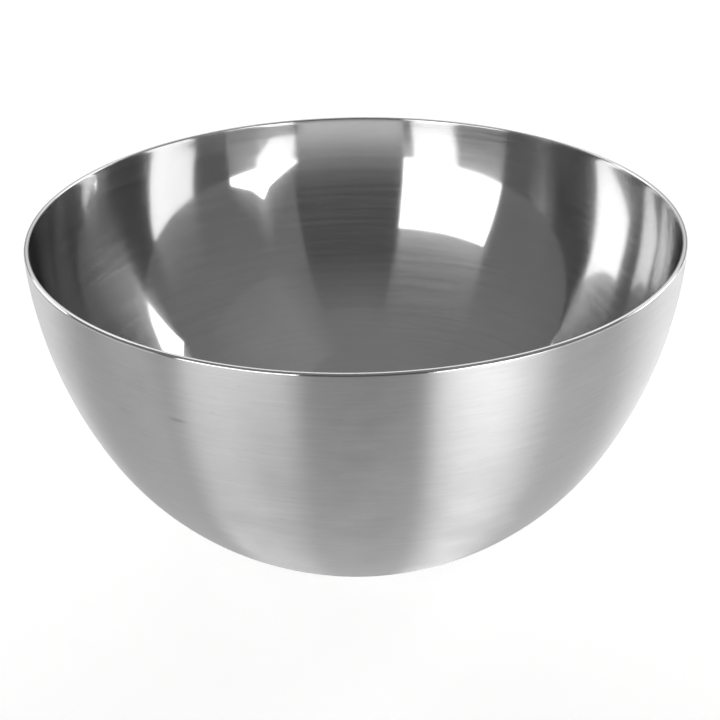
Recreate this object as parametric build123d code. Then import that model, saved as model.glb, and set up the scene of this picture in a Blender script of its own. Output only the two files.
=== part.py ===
from build123d import *
from build123d.topology import SkipClean

import os
from math import acos, asin, cos, degrees, radians, sin, sqrt, tan

# A double-walled stainless steel lather bowl, in the three pieces it is made from. Two sheet
# pressings, a polished inner bowl and a brushed outer bowl, nest with air between them, and one
# fused bead joins them all round the rim and is dressed into the rounded lip.
#
# Millimetres and degrees, +Z up. The origin is the centre of the foot, on the surface that the
# bowl stands on. Every piece turns about Z, so each is drawn as a half section, radius by height.

# Overall size
rim_diameter = 120.0
bowl_height = 60.0

# Both pressings
sheet = 0.5
fit_up_gap = 0.05  # between the two sheets where the bead closes them

# Rim bead
bead_height = 0.95
bead_lengths = 8  # equal lengths of the ring, so that no small round is one face all the way round
lip_outer_radius = 0.5
lip_inner_radius = 0.3

# Outside face of the outer bowl
outer_lean = 4.1  # from upright, at the rim
outer_upper_radius = 82.5  # the flatter curve of the upper wall
outer_lower_radius = 56.8  # the rounder curve below it, centred on the axis
foot_bend_radius = 7.0  # where the wall turns into the flat foot

# Shallow recess pressed up into the foot, which leaves a ring to stand on
recess_radius = 15.0  # to the middle of its step
recess_depth = 0.4
recess_bend_radius = 1.7

# Inside face of the inner bowl, which leans more, is shallower and has a round floor
inner_lean = 6.0
inner_upper_radius = 64.0
inner_lower_radius = 57.0

rim_radius = rim_diameter / 2
bead_foot = bowl_height - bead_height  # the level where both sheets end
down = radians(90)  # the angle of a wall's lowest point
up = -down


def arc(centre, radius, start, end):
    """An arc of the half section, between two angles in radians measured down from level."""
    return CenterArc(centre, radius, -degrees(start), -degrees(end - start))


def revolved(edges):
    """The body of revolution whose half section these edges close."""
    return revolve(Plane.XZ * make_face(Wire(edges)), Axis.Z)


class Wall:
    """A bowl's side: an upper arc from the rim, and a tangent lower arc centred on the axis.

    A point's angle is measured down from level at its arc's centre, in radians, so it is also the
    wall's lean from upright there. A depth is measured square into the sheet from the face that
    the radii describe: 0 is that face, and a negative depth is outside it.
    """

    def __init__(self, radius_at_rim, lean, upper_radius, lower_radius):
        self.upper_radius = upper_radius
        self.lower_radius = lower_radius
        centre_r = radius_at_rim - upper_radius * cos(radians(lean))
        centre_z = bead_foot + upper_radius * sin(radians(lean))
        self.upper_centre = (centre_r, centre_z)
        spread = upper_radius - lower_radius
        self.knuckle = acos(-centre_r / spread)  # the angle where the two arcs meet
        self.lower_centre = (0, centre_z - spread * sin(self.knuckle))

    def rim_angle(self, depth):
        """The angle at which the face at this depth reaches the level of the bead."""
        return asin((self.upper_centre[1] - bead_foot) / (self.upper_radius - depth))

    def rim_point_radius(self, depth):
        """That face's radius from the axis there."""
        reach = self.upper_radius - depth
        return self.upper_centre[0] + reach * cos(self.rim_angle(depth))

    def arcs(self, end, depth):
        """The face at this depth, from the level of the bead down to the angle end."""
        upper_reach = self.upper_radius - depth
        lower_reach = self.lower_radius - depth
        return [
            arc(self.upper_centre, upper_reach, self.rim_angle(depth), self.knuckle),
            arc(self.lower_centre, lower_reach, self.knuckle, end),
        ]


def foot_bend(wall):
    """The centre of the bend from this wall into the flat foot, and the angle where it begins."""
    reach = wall.lower_radius - foot_bend_radius
    drop = wall.lower_centre[1] - foot_bend_radius
    return (sqrt(reach**2 - drop**2), foot_bend_radius), asin(drop / reach)


def recess_step():
    """The angle that each of the step's two equal bends turns through, and the step's width."""
    turn = acos(1 - recess_depth / (2 * recess_bend_radius))
    return turn, 2 * recess_bend_radius * sin(turn)


def foot_edges(wall, depth):
    """The underside at this depth into the sheet: bend, ring, step and recess, in to the axis."""
    bend_centre, bend_start = foot_bend(wall)
    turn, step_width = recess_step()
    ring_r = recess_radius + step_width / 2
    recess_r = recess_radius - step_width / 2
    recess_z = recess_depth + depth
    rising_centre = (ring_r, recess_bend_radius)
    levelling_centre = (recess_r, recess_depth - recess_bend_radius)
    return [
        arc(bend_centre, foot_bend_radius - depth, bend_start, down),
        Line((bend_centre[0], depth), (ring_r, depth)),
        arc(rising_centre, recess_bend_radius - depth, down, down + turn),
        arc(levelling_centre, recess_bend_radius + depth, up + turn, up),
        Line((recess_r, recess_z), (0, recess_z)),
    ]


def closed_sheet(outside, inside):
    """A pressing, from its two faces: its cut edge at the rim and the line on the axis close it."""
    cut_edge = Line(outside[0] @ 0, inside[0] @ 0)
    axis_line = Line(outside[-1] @ 1, inside[-1] @ 1)
    return revolved([*outside, *inside, cut_edge, axis_line])


def outer_shell():
    """The brushed outer pressing, from the foot up to the bead."""
    _, bend_start = foot_bend(outer_wall)
    outside = outer_wall.arcs(bend_start, 0) + foot_edges(outer_wall, 0)
    inside = outer_wall.arcs(bend_start, sheet) + foot_edges(outer_wall, sheet)
    return closed_sheet(outside, inside)


def inner_shell():
    """The polished inner pressing, with its round floor."""
    return closed_sheet(inner_wall.arcs(down, -sheet), inner_wall.arcs(down, 0))


def top_corners(section):
    """A section's highest corners, from the inside out."""
    return section.vertices().group_by(Axis.Y)[-1].sort_by(Axis.X)


def rim_bead():
    """The fused bead on both cut edges, with its outer edge rounded more than its inner one."""
    inner_top_radius = inner_rim_radius + bead_height * tan(radians(inner_lean))
    corners = [
        (inner_rim_radius, bead_foot),
        (rim_radius, bead_foot),
        (rim_radius, bowl_height),
        (inner_top_radius, bowl_height),
    ]
    section = make_face(Polyline(*corners, close=True))
    section = fillet(top_corners(section)[-1], lip_outer_radius)
    section = fillet(top_corners(section)[0], lip_inner_radius)
    turn = 360 / bead_lengths
    length = revolve(Plane.XZ * section, Axis.Z, turn)
    with SkipClean():
        return length + [Rot(Z=turn * i) * length for i in range(1, bead_lengths)]


outer_wall = Wall(rim_radius, outer_lean, outer_upper_radius, outer_lower_radius)

# The inner bowl's cut edge starts one fit-up gap inside the outer bowl's.
inner_edge_radius = outer_wall.rim_point_radius(sheet) - fit_up_gap
inner_rim_radius = inner_edge_radius - sheet / cos(radians(inner_lean))
inner_wall = Wall(inner_rim_radius, inner_lean, inner_upper_radius, inner_lower_radius)

pieces = {
    "outer_shell": outer_shell,
    "inner_shell": inner_shell,
    "rim_bead": rim_bead,
}

os.makedirs("parts", exist_ok=True)
for name, make in pieces.items():
    export_step(make(), f"parts/{name}.step")

floor_level = inner_wall.lower_centre[1] - inner_lower_radius
gap_at_axis = floor_level - sheet - (recess_depth + sheet)
print(f"inside depth {bowl_height - floor_level:.2f}, air gap at the axis {gap_at_axis:.2f}")
print(f"rim {rim_radius - inner_rim_radius:.2f} wide, foot ring out to {foot_bend(outer_wall)[0][0]:.1f}")
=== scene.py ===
from math import acos, asin, cos, pi, radians, sin, sqrt, tan

import bmesh
import bpy
from mathutils import Matrix, Vector, noise


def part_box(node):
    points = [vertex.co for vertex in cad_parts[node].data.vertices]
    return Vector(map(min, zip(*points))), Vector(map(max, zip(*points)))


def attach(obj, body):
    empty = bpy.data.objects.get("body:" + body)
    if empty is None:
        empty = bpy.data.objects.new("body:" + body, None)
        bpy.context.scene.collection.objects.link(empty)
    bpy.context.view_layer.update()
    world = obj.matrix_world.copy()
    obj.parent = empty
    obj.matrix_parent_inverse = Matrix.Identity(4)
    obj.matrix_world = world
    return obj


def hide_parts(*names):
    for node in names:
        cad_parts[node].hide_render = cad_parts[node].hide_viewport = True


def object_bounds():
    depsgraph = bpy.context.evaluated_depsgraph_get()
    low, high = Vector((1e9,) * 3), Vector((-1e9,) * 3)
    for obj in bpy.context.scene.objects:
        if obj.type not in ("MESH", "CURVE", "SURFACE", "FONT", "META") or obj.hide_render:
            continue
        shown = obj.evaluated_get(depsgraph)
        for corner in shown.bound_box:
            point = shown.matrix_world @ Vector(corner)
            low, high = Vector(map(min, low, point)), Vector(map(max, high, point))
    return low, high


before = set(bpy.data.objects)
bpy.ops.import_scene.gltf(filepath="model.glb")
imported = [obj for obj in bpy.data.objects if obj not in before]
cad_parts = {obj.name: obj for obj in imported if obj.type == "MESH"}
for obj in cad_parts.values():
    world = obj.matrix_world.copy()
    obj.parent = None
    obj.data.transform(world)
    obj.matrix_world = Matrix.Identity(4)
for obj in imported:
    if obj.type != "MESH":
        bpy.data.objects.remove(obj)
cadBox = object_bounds()
mm = 0.001

# levels and radii that all three pieces share, read from the frame
bowlHeight = cadBox[1].z
rimRadius = (cadBox[1].x - cadBox[0].x) / 2
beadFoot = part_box("rim_bead")[0].z
innerEdge = (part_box("inner_shell")[1].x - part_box("inner_shell")[0].x) / 2
sheet = 0.5 * mm

onAxis = 0.0001 * mm         # a point nearer the axis than this counts as on it
sharpEdge = radians(30)      # edges that turn more than this are shaded as corners


def linear(hexColour):
    channels = []
    for start in (1, 3, 5):
        value = int(hexColour[start:start + 2], 16) / 255
        channels.append(value / 12.92 if value <= 0.04045 else ((value + 0.055) / 1.055) ** 2.4)
    return (*channels, 1)


def grey(level):
    return (level, level, level, 1)


def addNode(tree, kind, settings=None, links=None):
    # settings are the node's own options by name or its sockets by name, and links are sockets to feed
    node = tree.nodes.new(kind)
    for name, value in (settings or {}).items():
        if isinstance(name, str) and hasattr(node, name):
            setattr(node, name, value)
        else:
            node.inputs[name].default_value = value
    for name, source in (links or {}).items():
        tree.links.new(source, node.inputs[name])
    return node


def direction(azimuth, elevation):
    # azimuth 0 is towards the camera and grows to the camera's right
    a, e = radians(azimuth), radians(elevation)
    return Vector((sin(a) * cos(e), -cos(a) * cos(e), sin(e)))


def place(mesh, name):
    thing = bpy.data.objects.new(name, mesh)
    bpy.context.scene.collection.objects.link(thing)
    return thing


shot = {
    "distance": 374.6 * mm,  # to the middle of the rim
    "elevation": 22.54,
    "aimBelow": 3.71,        # the lens points this much under the rim's middle
    "aimAside": -0.07,
    "roll": 0.88,            # the rim sits a little higher on the right
    "lens": 102.57,          # on a 36 mm sensor
    "nearest": 10 * mm,      # anything closer to the lens isn't drawn
}


def makeCamera():
    back = direction(0, shot["elevation"])
    eye = Vector((0, 0, bowlHeight)) + back * shot["distance"]
    right = Vector((1, 0, 0))
    turn = Matrix((right, back.cross(right), back)).transposed()
    turn = turn @ Matrix.Rotation(radians(shot["aimAside"]), 3, "Y")
    turn = turn @ Matrix.Rotation(radians(-shot["aimBelow"]), 3, "X")
    turn = turn @ Matrix.Rotation(radians(-shot["roll"]), 3, "Z")
    data = bpy.data.cameras.new("camera")
    data.lens = shot["lens"]
    data.clip_start = shot["nearest"]
    camera = place(data, "camera")
    camera.matrix_world = Matrix.Translation(eye) @ turn.to_4x4()
    bpy.context.scene.camera = camera


makeCamera()
print("camera ready")


def arcPoints(centre, radius, start, end, steps):
    # angles are measured down from level, in radians
    points = []
    for i in range(steps + 1):
        angle = start + (end - start) * i / steps
        points.append((centre[0] + radius * cos(angle), centre[1] - radius * sin(angle)))
    return points


class Wall:
    # a bowl's side: an upper arc from the bead, then a tangent lower arc centred on the axis
    def __init__(self, radiusAtRim, lean, upperRadius, lowerRadius):
        self.upperRadius = upperRadius
        self.lowerRadius = lowerRadius
        centreR = radiusAtRim - upperRadius * cos(radians(lean))
        centreZ = beadFoot + upperRadius * sin(radians(lean))
        self.upperCentre = (centreR, centreZ)
        spread = upperRadius - lowerRadius
        self.knuckle = acos(-centreR / spread)
        self.lowerCentre = (0, centreZ - spread * sin(self.knuckle))

    def face(self, depth, end, steps):
        # the face at this depth into the sheet, from the bead down to the angle end
        upper = self.upperRadius - depth
        start = asin((self.upperCentre[1] - beadFoot) / upper)
        share = (self.knuckle - start) / (end - start)
        upperSteps = max(2, round(steps * share))
        points = arcPoints(self.upperCentre, upper, start, self.knuckle, upperSteps)
        lower = self.lowerRadius - depth
        points += arcPoints(self.lowerCentre, lower, self.knuckle, end, steps - upperSteps)[1:]
        return points


def lathe(name, section, turns, closed=False):
    # a section point on the axis becomes one shared point
    mesh = bmesh.new()
    rings = []
    for r, z in section:
        if r < onAxis:
            rings.append([mesh.verts.new((0, 0, z))])
            continue
        ring = []
        for i in range(turns):
            a = 2 * pi * i / turns
            ring.append(mesh.verts.new((r * cos(a), r * sin(a), z)))
        rings.append(ring)
    pairs = list(zip(rings, rings[1:]))
    if closed:
        pairs.append((rings[-1], rings[0]))
    for first, second in pairs:
        for i in range(turns):
            j = (i + 1) % turns
            corners = [first[i % len(first)], first[j % len(first)]]
            corners += [second[j % len(second)], second[i % len(second)]]
            unique = list(dict.fromkeys(corners))
            if len(unique) > 2:
                mesh.faces.new(unique)
    bmesh.ops.recalc_face_normals(mesh, faces=mesh.faces)
    for face in mesh.faces:
        face.smooth = True
    data = bpy.data.meshes.new(name)
    mesh.to_mesh(data)
    mesh.free()
    data.set_sharp_from_angle(angle=sharpEdge)
    return place(data, name)


def ripple(piece, spec):
    # the faint unevenness that drawing and polishing leave, held back near the rim
    holdBack = bowlHeight - spec["rippleClear"]
    for vertex in piece.data.vertices:
        fade = min(1, max(0, (holdBack - vertex.co.z) / spec["rippleFade"]))
        across = vertex.co / spec["rippleWidth"]
        small = noise.noise(across * spec["smallRippleScale"]) * spec["smallRippleShare"]
        height = noise.noise(across) + small
        inward = Vector((0, 0, bowlHeight)) - vertex.co
        vertex.co += inward.normalized() * spec["rippleDepth"] * fade * height


outerBowl = {
    "lean": 4.1,               # degrees from upright at the rim
    "upperRadius": 82.5 * mm,
    "lowerRadius": 56.8 * mm,
    "footBend": 7.0 * mm,
    "recessRadius": 15.0 * mm,
    "recessDepth": 0.4 * mm,
    "recessBend": 1.7 * mm,
    "recessRings": (0.66, 0.33),  # rings of points across the recess, as shares of its radius
    "turns": 384,
    "outsideSteps": {"wall": 120, "bend": 12, "recess": 6},
    "insideSteps": {"wall": 24, "bend": 6, "recess": 3},
}


def footPoints(wall, depth, steps):
    # the underside at this depth into the sheet, from the bend in to the axis
    spec = outerBowl
    reach = wall.lowerRadius - spec["footBend"]
    drop = wall.lowerCentre[1] - spec["footBend"]
    bendCentre = (sqrt(reach**2 - drop**2), spec["footBend"])
    down = pi / 2
    turn = acos(1 - spec["recessDepth"] / (2 * spec["recessBend"]))
    halfStep = spec["recessBend"] * sin(turn)
    ring = (spec["recessRadius"] + halfStep, spec["recessBend"])
    inner = (spec["recessRadius"] - halfStep, spec["recessDepth"] - spec["recessBend"])
    points = arcPoints(bendCentre, spec["footBend"] - depth, asin(drop / reach), down, steps["bend"])
    points += arcPoints(ring, spec["recessBend"] - depth, down, down + turn, steps["recess"])
    points += arcPoints(inner, spec["recessBend"] + depth, turn - down, -down, steps["recess"])[1:]
    last = points[-1]
    for share in spec["recessRings"]:
        points.append((last[0] * share, last[1]))
    points.append((0, last[1]))
    return points


def outerTopRadius():
    # the bead's outer side leans on in line with the wall, and reaches the full radius at its round
    side = bowlHeight - rimBead["outerRound"] - beadFoot
    return rimRadius - side * tan(radians(outerBowl["lean"]))


def makeOuterBowl():
    spec = outerBowl
    wall = Wall(outerTopRadius(), spec["lean"], spec["upperRadius"], spec["lowerRadius"])
    reach = wall.lowerRadius - spec["footBend"]
    bendStart = asin((wall.lowerCentre[1] - spec["footBend"]) / reach)
    outsideSteps, insideSteps = spec["outsideSteps"], spec["insideSteps"]
    outside = wall.face(0, bendStart, outsideSteps["wall"]) + footPoints(wall, 0, outsideSteps)[1:]
    inside = wall.face(sheet, bendStart, insideSteps["wall"]) + footPoints(wall, sheet, insideSteps)[1:]
    return lathe("outerBowl", list(reversed(inside)) + outside, spec["turns"])


innerBowl = {
    "lean": 6.0,
    "upperRadius": 64.0 * mm,
    "lowerRadius": 57.0 * mm,
    "turns": 384,
    "rippleDepth": 0.012 * mm,
    "rippleWidth": 17 * mm,
    "rippleClear": 1.5 * mm,   # no ripple nearer the rim than this
    "rippleFade": 9 * mm,      # and this far below that before it is full
    "smallRippleScale": 2.3,   # a second ripple this many times finer
    "smallRippleShare": 0.4,
    "insideSteps": 150,
    "outsideSteps": 24,
}


def makeInnerBowl():
    spec = innerBowl
    insideRim = innerEdge - sheet / cos(radians(spec["lean"]))
    wall = Wall(insideRim, spec["lean"], spec["upperRadius"], spec["lowerRadius"])
    inside = wall.face(0, pi / 2, spec["insideSteps"])
    outside = wall.face(-sheet, pi / 2, spec["outsideSteps"])
    inside[-1] = (0, inside[-1][1])
    outside[-1] = (0, outside[-1][1])
    bowl = lathe("innerBowl", list(reversed(outside)) + inside, spec["turns"])
    ripple(bowl, spec)
    return bowl


rimBead = {
    "outerRound": 0.5 * mm,
    "innerRound": 0.3 * mm,
    "turns": 512,
    "outerSteps": 12,
    "innerSteps": 8,
}


def makeRimBead():
    spec = rimBead
    lean = radians(innerBowl["lean"])
    insideRim = innerEdge - sheet / cos(lean)
    topInner = insideRim + (bowlHeight - beadFoot) * tan(lean)
    outerRound, innerRound = spec["outerRound"], spec["innerRound"]
    outerCentre = (rimRadius - outerRound, bowlHeight - outerRound)
    # the inner round touches the top and the leaning inside face
    innerCentre = (topInner + innerRound / tan((pi / 2 + lean) / 2), bowlHeight - innerRound)
    section = [(outerTopRadius(), beadFoot)]
    section += arcPoints(outerCentre, outerRound, 0, -pi / 2, spec["outerSteps"])
    section += arcPoints(innerCentre, innerRound, -pi / 2, -pi + lean, spec["innerSteps"])
    section += [(insideRim, beadFoot)]
    return lathe("rimBead", section, spec["turns"], closed=True)


def newMaterial(name):
    material = bpy.data.materials.new(name)
    material.use_nodes = True
    material.node_tree.nodes.clear()
    return material, material.node_tree


def finish(name, surface):
    # a material whose whole surface is one shader
    material, tree = newMaterial(name)
    shader = surface(tree)
    out = addNode(tree, "ShaderNodeOutputMaterial")
    tree.links.new(shader, out.inputs["Surface"])
    return material


def bowlPosition(tree):
    # height, radius from the axis and way round the axis, for patterns that follow the bowl
    where = addNode(tree, "ShaderNodeTexCoord").outputs["Object"]
    apart = addNode(tree, "ShaderNodeSeparateXYZ", links={"Vector": where}).outputs
    flat = addNode(tree, "ShaderNodeCombineXYZ", links={"X": apart["X"], "Y": apart["Y"]})
    radius = addNode(tree, "ShaderNodeVectorMath", {"operation": "LENGTH"}, {0: flat.outputs[0]})
    around = addNode(tree, "ShaderNodeVectorMath", {"operation": "NORMALIZE"}, {0: flat.outputs[0]})
    return apart["Z"], radius.outputs["Value"], around.outputs["Vector"]


def rings(tree, length, spacing):
    # noise drawn out into rings round the bowl, with marks of this length and this far apart
    height, radius, around = bowlPosition(tree)
    below = addNode(tree, "ShaderNodeMath", {"operation": "SUBTRACT", 0: bowlHeight}, {1: height})
    angle = addNode(tree, "ShaderNodeMath", {"operation": "ARCTAN2"}, {0: radius, 1: below.outputs[0]})
    across = addNode(tree, "ShaderNodeMath", {"operation": "MULTIPLY", 1: rimRadius / spacing},
                     {0: angle.outputs[0]})
    along = addNode(tree, "ShaderNodeVectorMath", {"operation": "SCALE", "Scale": rimRadius / length},
                    {0: around})
    lift = addNode(tree, "ShaderNodeCombineXYZ", links={"Z": across.outputs[0]})
    both = addNode(tree, "ShaderNodeVectorMath", {"operation": "ADD"},
                   {0: along.outputs["Vector"], 1: lift.outputs[0]})
    marks = addNode(tree, "ShaderNodeTexNoise", {"Scale": 1, "Detail": 3, "Roughness": 0.6},
                    {"Vector": both.outputs["Vector"]})
    return marks.outputs[0]


def clouds(tree, width):
    # soft patches of this width, as handling and polishing leave
    where = addNode(tree, "ShaderNodeTexCoord").outputs["Object"]
    patches = addNode(tree, "ShaderNodeTexNoise", {"Scale": 1 / width, "Detail": 3, "Roughness": 0.55},
                      {"Vector": where})
    return patches.outputs[0]


def between(tree, value, low, high, start=0.3, end=0.7):
    # turns a value that runs from start to end into one that runs from low to high
    spread = addNode(tree, "ShaderNodeMapRange",
                     {"From Min": start, "From Max": end, "To Min": low, "To Max": high},
                     {"Value": value})
    return spread.outputs[0]


def combine(tree, operation, first, second):
    return addNode(tree, "ShaderNodeMath", {"operation": operation}, {0: first, 1: second}).outputs[0]


brushedFinish = {
    "dark": "#A8A8A8",
    "light": "#D8D8D8",
    "lineLength": 7 * mm,
    "lineSpacing": 0.45 * mm,   # real belt scratches are about a tenth of this apart
    "streakLength": 16 * mm,
    "streakSpacing": 1.3 * mm,
    "nickLength": 2.6 * mm,
    "nickSpacing": 0.5 * mm,
    "smudge": 9 * mm,
    "roughLow": 0.35,
    "roughHigh": 0.43,
    "rubAngle": -120.3,         # the short rub on the side, by the angle round the bowl
    "rubHeight": 47.3 * mm,
    "rubRadius": 58.3 * mm,     # from the axis, which is the outer face at that height
    "rubLength": 1.4 * mm,
    "rubWidth": 0.3 * mm,
    "rubCore": 0.3,             # dark out to this share of its size, and gone at rubFade
    "rubFade": 1.6,
    "lineShade": 0.84,          # how light the darkest of each kind of mark is left, of 1
    "streakShade": 0.87,
    "smudgeShade": 0.85,
    "nickShade": 0.78,
    "rubShade": 0.3,
    "nickFrom": 0.62,           # only the peaks of the pattern are nicks
    "nickTo": 0.76,
    "roughWander": 0.02,
    "scratchStrength": 0.3,
    "scratchDepth": 0.01 * mm,
}


def rubMark(tree, spec):
    # 1 in the middle of the rub, falling to 0 round it
    angle = radians(spec["rubAngle"])
    middle = (spec["rubRadius"] * cos(angle), spec["rubRadius"] * sin(angle), spec["rubHeight"])
    where = addNode(tree, "ShaderNodeTexCoord").outputs["Object"]
    across = (1 / spec["rubLength"], 1 / spec["rubLength"], 1 / spec["rubWidth"])
    away = addNode(tree, "ShaderNodeVectorMath", {"operation": "SUBTRACT", 1: middle}, {0: where})
    scaled = addNode(tree, "ShaderNodeVectorMath", {"operation": "MULTIPLY", 1: across},
                     {0: away.outputs["Vector"]})
    distance = addNode(tree, "ShaderNodeVectorMath", {"operation": "LENGTH"}, {0: scaled.outputs["Vector"]})
    return between(tree, distance.outputs["Value"], 1, 0, spec["rubCore"], spec["rubFade"])


def brushedSurface(tree):
    # a belt run against the turning bowl leaves rings of fine scratches: lights smear into tall
    # bands across them and stay crisp along them
    spec = brushedFinish
    lines = rings(tree, spec["lineLength"], spec["lineSpacing"])
    streaks = rings(tree, spec["streakLength"], spec["streakSpacing"])
    nicks = rings(tree, spec["nickLength"], spec["nickSpacing"])
    smudges = clouds(tree, spec["smudge"])
    shades = [
        between(tree, streaks, spec["streakShade"], 1),
        between(tree, smudges, spec["smudgeShade"], 1),
        between(tree, nicks, 1, spec["nickShade"], spec["nickFrom"], spec["nickTo"]),
        between(tree, rubMark(tree, spec), 1, spec["rubShade"], 0, 1),
    ]
    wear = between(tree, lines, spec["lineShade"], 1)
    for shade in shades:
        wear = combine(tree, "MULTIPLY", wear, shade)
    tone = addNode(tree, "ShaderNodeMix", {
        "data_type": "RGBA",
        6: linear(spec["dark"]),
        7: linear(spec["light"]),
    }, {0: wear})
    rough = combine(tree, "ADD", between(tree, smudges, spec["roughLow"], spec["roughHigh"]),
                    between(tree, streaks, -spec["roughWander"], spec["roughWander"]))
    bump = addNode(tree, "ShaderNodeBump", {
        "Strength": spec["scratchStrength"],
        "Distance": spec["scratchDepth"],
    }, {"Height": lines})
    tangent = addNode(tree, "ShaderNodeTangent", {"direction_type": "RADIAL", "axis": "Z"})
    shader = addNode(tree, "ShaderNodeBsdfPrincipled", {
        "Metallic": 1,
        "Anisotropic": 1.0,
        "Anisotropic Rotation": 0.25,
    }, {
        "Base Color": tone.outputs[2],
        "Roughness": rough,
        "Normal": bump.outputs[0],
        "Tangent": tangent.outputs[0],
    })
    return shader.outputs[0]


polishedFinish = {
    "colour": "#D4D4D4",
    "mirrorLow": 0.045,
    "mirrorHigh": 0.085,
    "haze": 0.18,
    "hazeShare": 0.38,
    "markLength": 25 * mm,
    "markSpacing": 0.8 * mm,   # real mop marks are finer
    "cloud": 14 * mm,
    "markShade": 0.95,         # how light the darkest marks and clouds are left, of 1
    "cloudShade": 0.94,
    "hazeWander": 0.03,
    "shareWander": 0.04,
    "markStrength": 0.06,
    "markDepth": 0.002 * mm,
}


def polishedSurface(tree):
    # buffed bright over the fine rings of spinning: a clear mirror, with a veil that smears lights
    # across the rings
    spec = polishedFinish
    haze = spec["haze"]
    marks = rings(tree, spec["markLength"], spec["markSpacing"])
    veil = clouds(tree, spec["cloud"])
    shade = combine(tree, "MULTIPLY", between(tree, marks, spec["markShade"], 1),
                    between(tree, veil, spec["cloudShade"], 1))
    tone = addNode(tree, "ShaderNodeMix", {
        "data_type": "RGBA",
        6: grey(0),
        7: linear(spec["colour"]),
    }, {0: shade})
    bump = addNode(tree, "ShaderNodeBump", {
        "Strength": spec["markStrength"],
        "Distance": spec["markDepth"],
    }, {"Height": marks})
    tangent = addNode(tree, "ShaderNodeTangent", {"direction_type": "RADIAL", "axis": "Z"})
    mirror = addNode(tree, "ShaderNodeBsdfPrincipled", {"Metallic": 1}, {
        "Base Color": tone.outputs[2],
        "Roughness": between(tree, veil, spec["mirrorLow"], spec["mirrorHigh"]),
        "Normal": bump.outputs[0],
    })
    smear = addNode(tree, "ShaderNodeBsdfPrincipled", {
        "Metallic": 1,
        "Anisotropic": 1.0,
        "Anisotropic Rotation": 0.25,
    }, {
        "Base Color": tone.outputs[2],
        "Roughness": between(tree, marks, haze - spec["hazeWander"], haze + spec["hazeWander"]),
        "Tangent": tangent.outputs[0],
    })
    least, most = spec["hazeShare"] - spec["shareWander"], spec["hazeShare"] + spec["shareWander"]
    both = addNode(tree, "ShaderNodeMixShader", links={
        "Fac": between(tree, veil, least, most),
        1: mirror.outputs[0],
        2: smear.outputs[0],
    })
    return both.outputs[0]


beadFinish = {
    "brushedUpTo": 0.5 * mm,    # below the top, where the belt stops on the outer face
    "blend": 0.12 * mm,
}


def beadSurface(tree):
    # the weld bead is ground flush and buffed with the inside, so its rounds catch a thin bright
    # line, and the belt runs up its outer face
    spec = beadFinish
    height, radius, _ = bowlPosition(tree)
    stop = bowlHeight - spec["brushedUpTo"]
    low = between(tree, height, 1, 0, stop - spec["blend"], stop + spec["blend"])
    edge = rimRadius - spec["brushedUpTo"]
    outside = between(tree, radius, 0, 1, edge, edge + spec["blend"])
    both = addNode(tree, "ShaderNodeMixShader", links={
        "Fac": combine(tree, "MULTIPLY", low, outside),
        1: polishedSurface(tree),
        2: brushedSurface(tree),
    })
    return both.outputs[0]


pieces = [
    (makeOuterBowl, "outer_shell", "brushed_outside", "belt_brushed_18_8_stainless", brushedSurface),
    (makeInnerBowl, "inner_shell", "mirror_inside", "mop_polished_18_8_stainless", polishedSurface),
    (makeRimBead, "rim_bead", "dressed_rim", "ground_and_buffed_weld", beadSurface),
]
for make, node, slot, material, surface in pieces:
    piece = make()
    piece.data.materials.append(finish(material, surface))
    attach(piece, "root")
    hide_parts(node)
    print(piece.name, "made with", len(piece.data.polygons), "faces")


studio = {
    "distance": 1600 * mm,     # of every panel from the bowl
    "cuts": 5,                 # each part of a panel is cut this often, to follow the curve
    "floorSize": 6000 * mm,
    "floorGlow": 0.56,
    "floorGap": 0.02 * mm,     # under the foot, so that the two faces don't coincide
    "floorColour": "#F2F2F1",
    "backdrop": 0.96,
}

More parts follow.
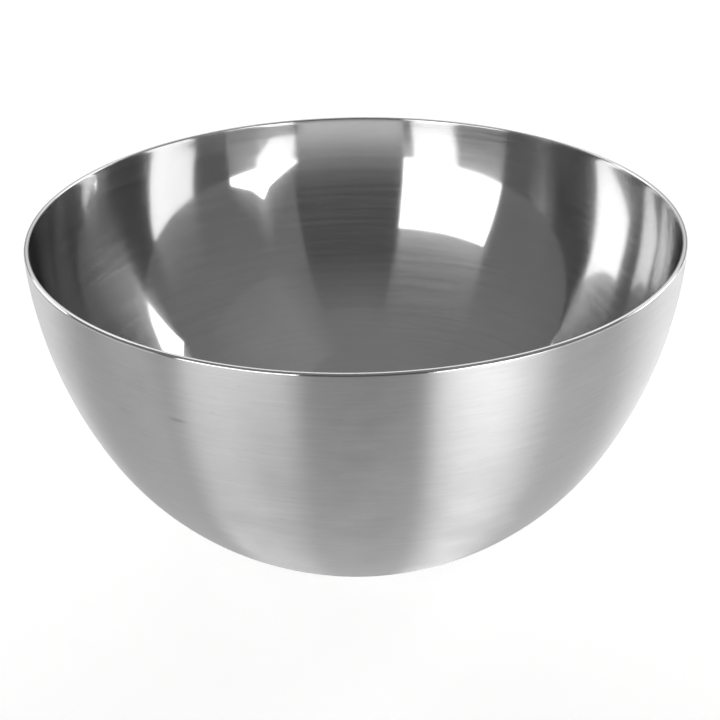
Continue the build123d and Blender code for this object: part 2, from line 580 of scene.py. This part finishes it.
# each panel's columns, as an azimuth and, going up it, elevations with the light's level there
panels = {
    "leftSoftbox": [
        (-58.5, [(2.5, 3.3), (26.2, 3.3)]),
        (-19, [(2.5, 3.3), (28.5, 3.3)]),
    ],
    "leftSoftboxLow": [
        (-58.5, [(-65, 0.15), (-12, 1.0), (2.5, 1.4)]),
        (-46, [(-65, 0.1), (-12, 1.1), (2.5, 1.55)]),
        (-34, [(-65, 0.1), (-12, 0.95), (2.5, 1.4)]),
        (-19, [(-65, 0.15), (-12, 0.7), (2.5, 1.0)]),
    ],
    "rightSoftbox": [
        (22, [(2.5, 5), (4.5, 5)]),
        (28, [(2.5, 5), (7.5, 5)]),
        (34, [(2.5, 5), (11, 5)]),
        (37, [(2.5, 5), (15, 5)]),
        (41, [(2.5, 5), (11, 5)]),
        (49, [(2.5, 5), (7.5, 5)]),
    ],
    "rightSoftboxLow": [
        (24, [(-65, 0.1), (-12, 2.2), (2.5, 3.9)]),
        (38, [(-65, 0.1), (-12, 2.5), (2.5, 5.0)]),
        (50, [(-65, 0.15), (-12, 2.9), (2.5, 5.2)]),
        (58, [(-60, 0.4), (-12, 2.4), (2.5, 3.1)]),
        (67, [(-60, 0.65), (-12, 1.1), (2.5, 1.3)]),
    ],
    "rightBackSoftbox": [
        (105, [(14, 3.4), (32, 3.4)]),
        (137, [(14, 3.4), (32, 3.4)]),
    ],
    "leftBackSoftbox": [
        (-137, [(12, 3.6), (28, 3.6)]),
        (-118, [(12, 3.6), (27, 3.6)]),
        (-109, [(12, 3.6), (19, 3.6)]),
    ],
    "backPaper": [
        (143, [(11, 0.3), (18, 0.5), (26, 1.2), (48, 2.0)]),
        (222, [(11, 0.3), (18, 0.5), (26, 1.2), (48, 2.2)]),
    ],
    "sweep": [
        (67, [(-60, 0.7), (4, 1.05)]),
        (93, [(-60, 0.62), (4, 0.88)]),
        (112, [(-60, 0.6), (4, 1.0)]),
        (132, [(-60, 0.7), (4, 1.7)]),
        (152, [(-60, 0.6), (4, 1.4)]),
        (168, [(-60, 0.5), (4, 0.5)]),
        (192, [(-60, 0.5), (4, 0.5)]),
        (208, [(-60, 0.6), (4, 1.3)]),
        (228, [(-60, 0.6), (4, 1.0)]),
        (246, [(-60, 0.55), (4, 0.6)]),
        (294, [(-60, 0.7), (4, 0.98)]),
    ],
    "ceiling": [
        (24, [(40, 0.18), (56, 0.24), (74, 0.26)]),
        (44, [(40, 0.27), (56, 0.31), (74, 0.31)]),
        (84, [(40, 0.25), (56, 0.3), (74, 0.31)]),
        (120, [(40, 0.21), (56, 0.24), (74, 0.27)]),
    ],
    "lensFlag": [
        (-19, [(8, 0.16), (14, 0.1), (38, 0.1), (58, 0.21)]),
        (24, [(8, 0.16), (14, 0.1), (38, 0.1), (58, 0.21)]),
    ],
}


def makePanel(name, columns):
    mesh = bmesh.new()
    glow = mesh.verts.layers.float.new("glow")
    grid = []
    for azimuth, points in columns:
        column = []
        for elevation, level in points:
            corner = mesh.verts.new((azimuth, elevation, 0))
            corner[glow] = level
            column.append(corner)
        grid.append(column)
    for left, right in zip(grid, grid[1:]):
        for i in range(len(left) - 1):
            mesh.faces.new((left[i], right[i], right[i + 1], left[i + 1]))
    bmesh.ops.subdivide_edges(mesh, edges=mesh.edges[:], cuts=studio["cuts"], use_grid_fill=True)
    centre = Vector((0, 0, bowlHeight))
    for corner in mesh.verts:
        corner.co = centre + direction(corner.co.x, corner.co.y) * studio["distance"]
    data = bpy.data.meshes.new(name)
    mesh.to_mesh(data)
    mesh.free()
    card = place(data, name)
    material, tree = newMaterial(name)
    level = addNode(tree, "ShaderNodeAttribute", {"attribute_name": "glow"}).outputs["Fac"]
    light = addNode(tree, "ShaderNodeEmission", {"Color": grey(1)}, {"Strength": level})
    out = addNode(tree, "ShaderNodeOutputMaterial")
    tree.links.new(light.outputs[0], out.inputs["Surface"])
    card.data.materials.append(material)
    card.visible_camera = False


for name, columns in panels.items():
    makePanel(name, columns)


# the room's level by height, from straight down at 0 to straight up at 1
roomLevels = [(0.0, 0.85), (0.07, 0.7), (0.2, 0.65), (0.35, 0.25), (0.5, 0.26), (0.56, 0.23),
              (0.62, 0.2), (0.8, 0.22), (1.0, 0.26)]


def makeWorld():
    world = bpy.data.worlds.new("studio")
    bpy.context.scene.world = world
    world.use_nodes = True
    tree = world.node_tree
    tree.nodes.clear()
    way = addNode(tree, "ShaderNodeTexCoord").outputs["Generated"]
    apart = addNode(tree, "ShaderNodeSeparateXYZ", links={"Vector": way}).outputs
    height = between(tree, apart["Z"], 0, 1, -1, 1)
    ramp = addNode(tree, "ShaderNodeValToRGB", links={"Fac": height})
    elements = ramp.color_ramp.elements
    while len(elements) < len(roomLevels):
        elements.new(0.5)
    for element, (position, level) in zip(elements, roomLevels):
        element.position = position
        element.color = grey(level)
    room = addNode(tree, "ShaderNodeBackground", {"Strength": 1}, {"Color": ramp.outputs["Color"]})
    backdrop = addNode(tree, "ShaderNodeBackground", {"Color": grey(studio["backdrop"]), "Strength": 1})
    seen = addNode(tree, "ShaderNodeLightPath").outputs["Is Camera Ray"]
    both = addNode(tree, "ShaderNodeMixShader",
                   links={"Fac": seen, 1: room.outputs[0], 2: backdrop.outputs[0]})
    out = addNode(tree, "ShaderNodeOutputWorld")
    tree.links.new(both.outputs[0], out.inputs["Surface"])


def makeFloor():
    half = studio["floorSize"] / 2
    mesh = bmesh.new()
    corners = [(-half, -half), (half, -half), (half, half), (-half, half)]
    mesh.faces.new([mesh.verts.new((x, y, -studio["floorGap"])) for x, y in corners])
    data = bpy.data.meshes.new("floor")
    mesh.to_mesh(data)
    mesh.free()
    floor = place(data, "floor")
    material, tree = newMaterial("white_light_table")
    paper = addNode(tree, "ShaderNodeBsdfDiffuse", {"Color": linear(studio["floorColour"])})
    glow = addNode(tree, "ShaderNodeEmission", {"Color": grey(1), "Strength": studio["floorGlow"]})
    both = addNode(tree, "ShaderNodeAddShader", links={0: paper.outputs[0], 1: glow.outputs[0]})
    clear = addNode(tree, "ShaderNodeBsdfTransparent")
    side = addNode(tree, "ShaderNodeNewGeometry")
    mix = addNode(tree, "ShaderNodeMixShader",
                  links={"Fac": side.outputs["Backfacing"], 1: both.outputs[0], 2: clear.outputs[0]})
    out = addNode(tree, "ShaderNodeOutputMaterial")
    tree.links.new(mix.outputs[0], out.inputs["Surface"])
    floor.data.materials.append(material)
    floor.visible_glossy = False
    floor.visible_shadow = False


makeWorld()
makeFloor()
bpy.context.scene.view_settings.view_transform = "Standard"
print("studio ready")
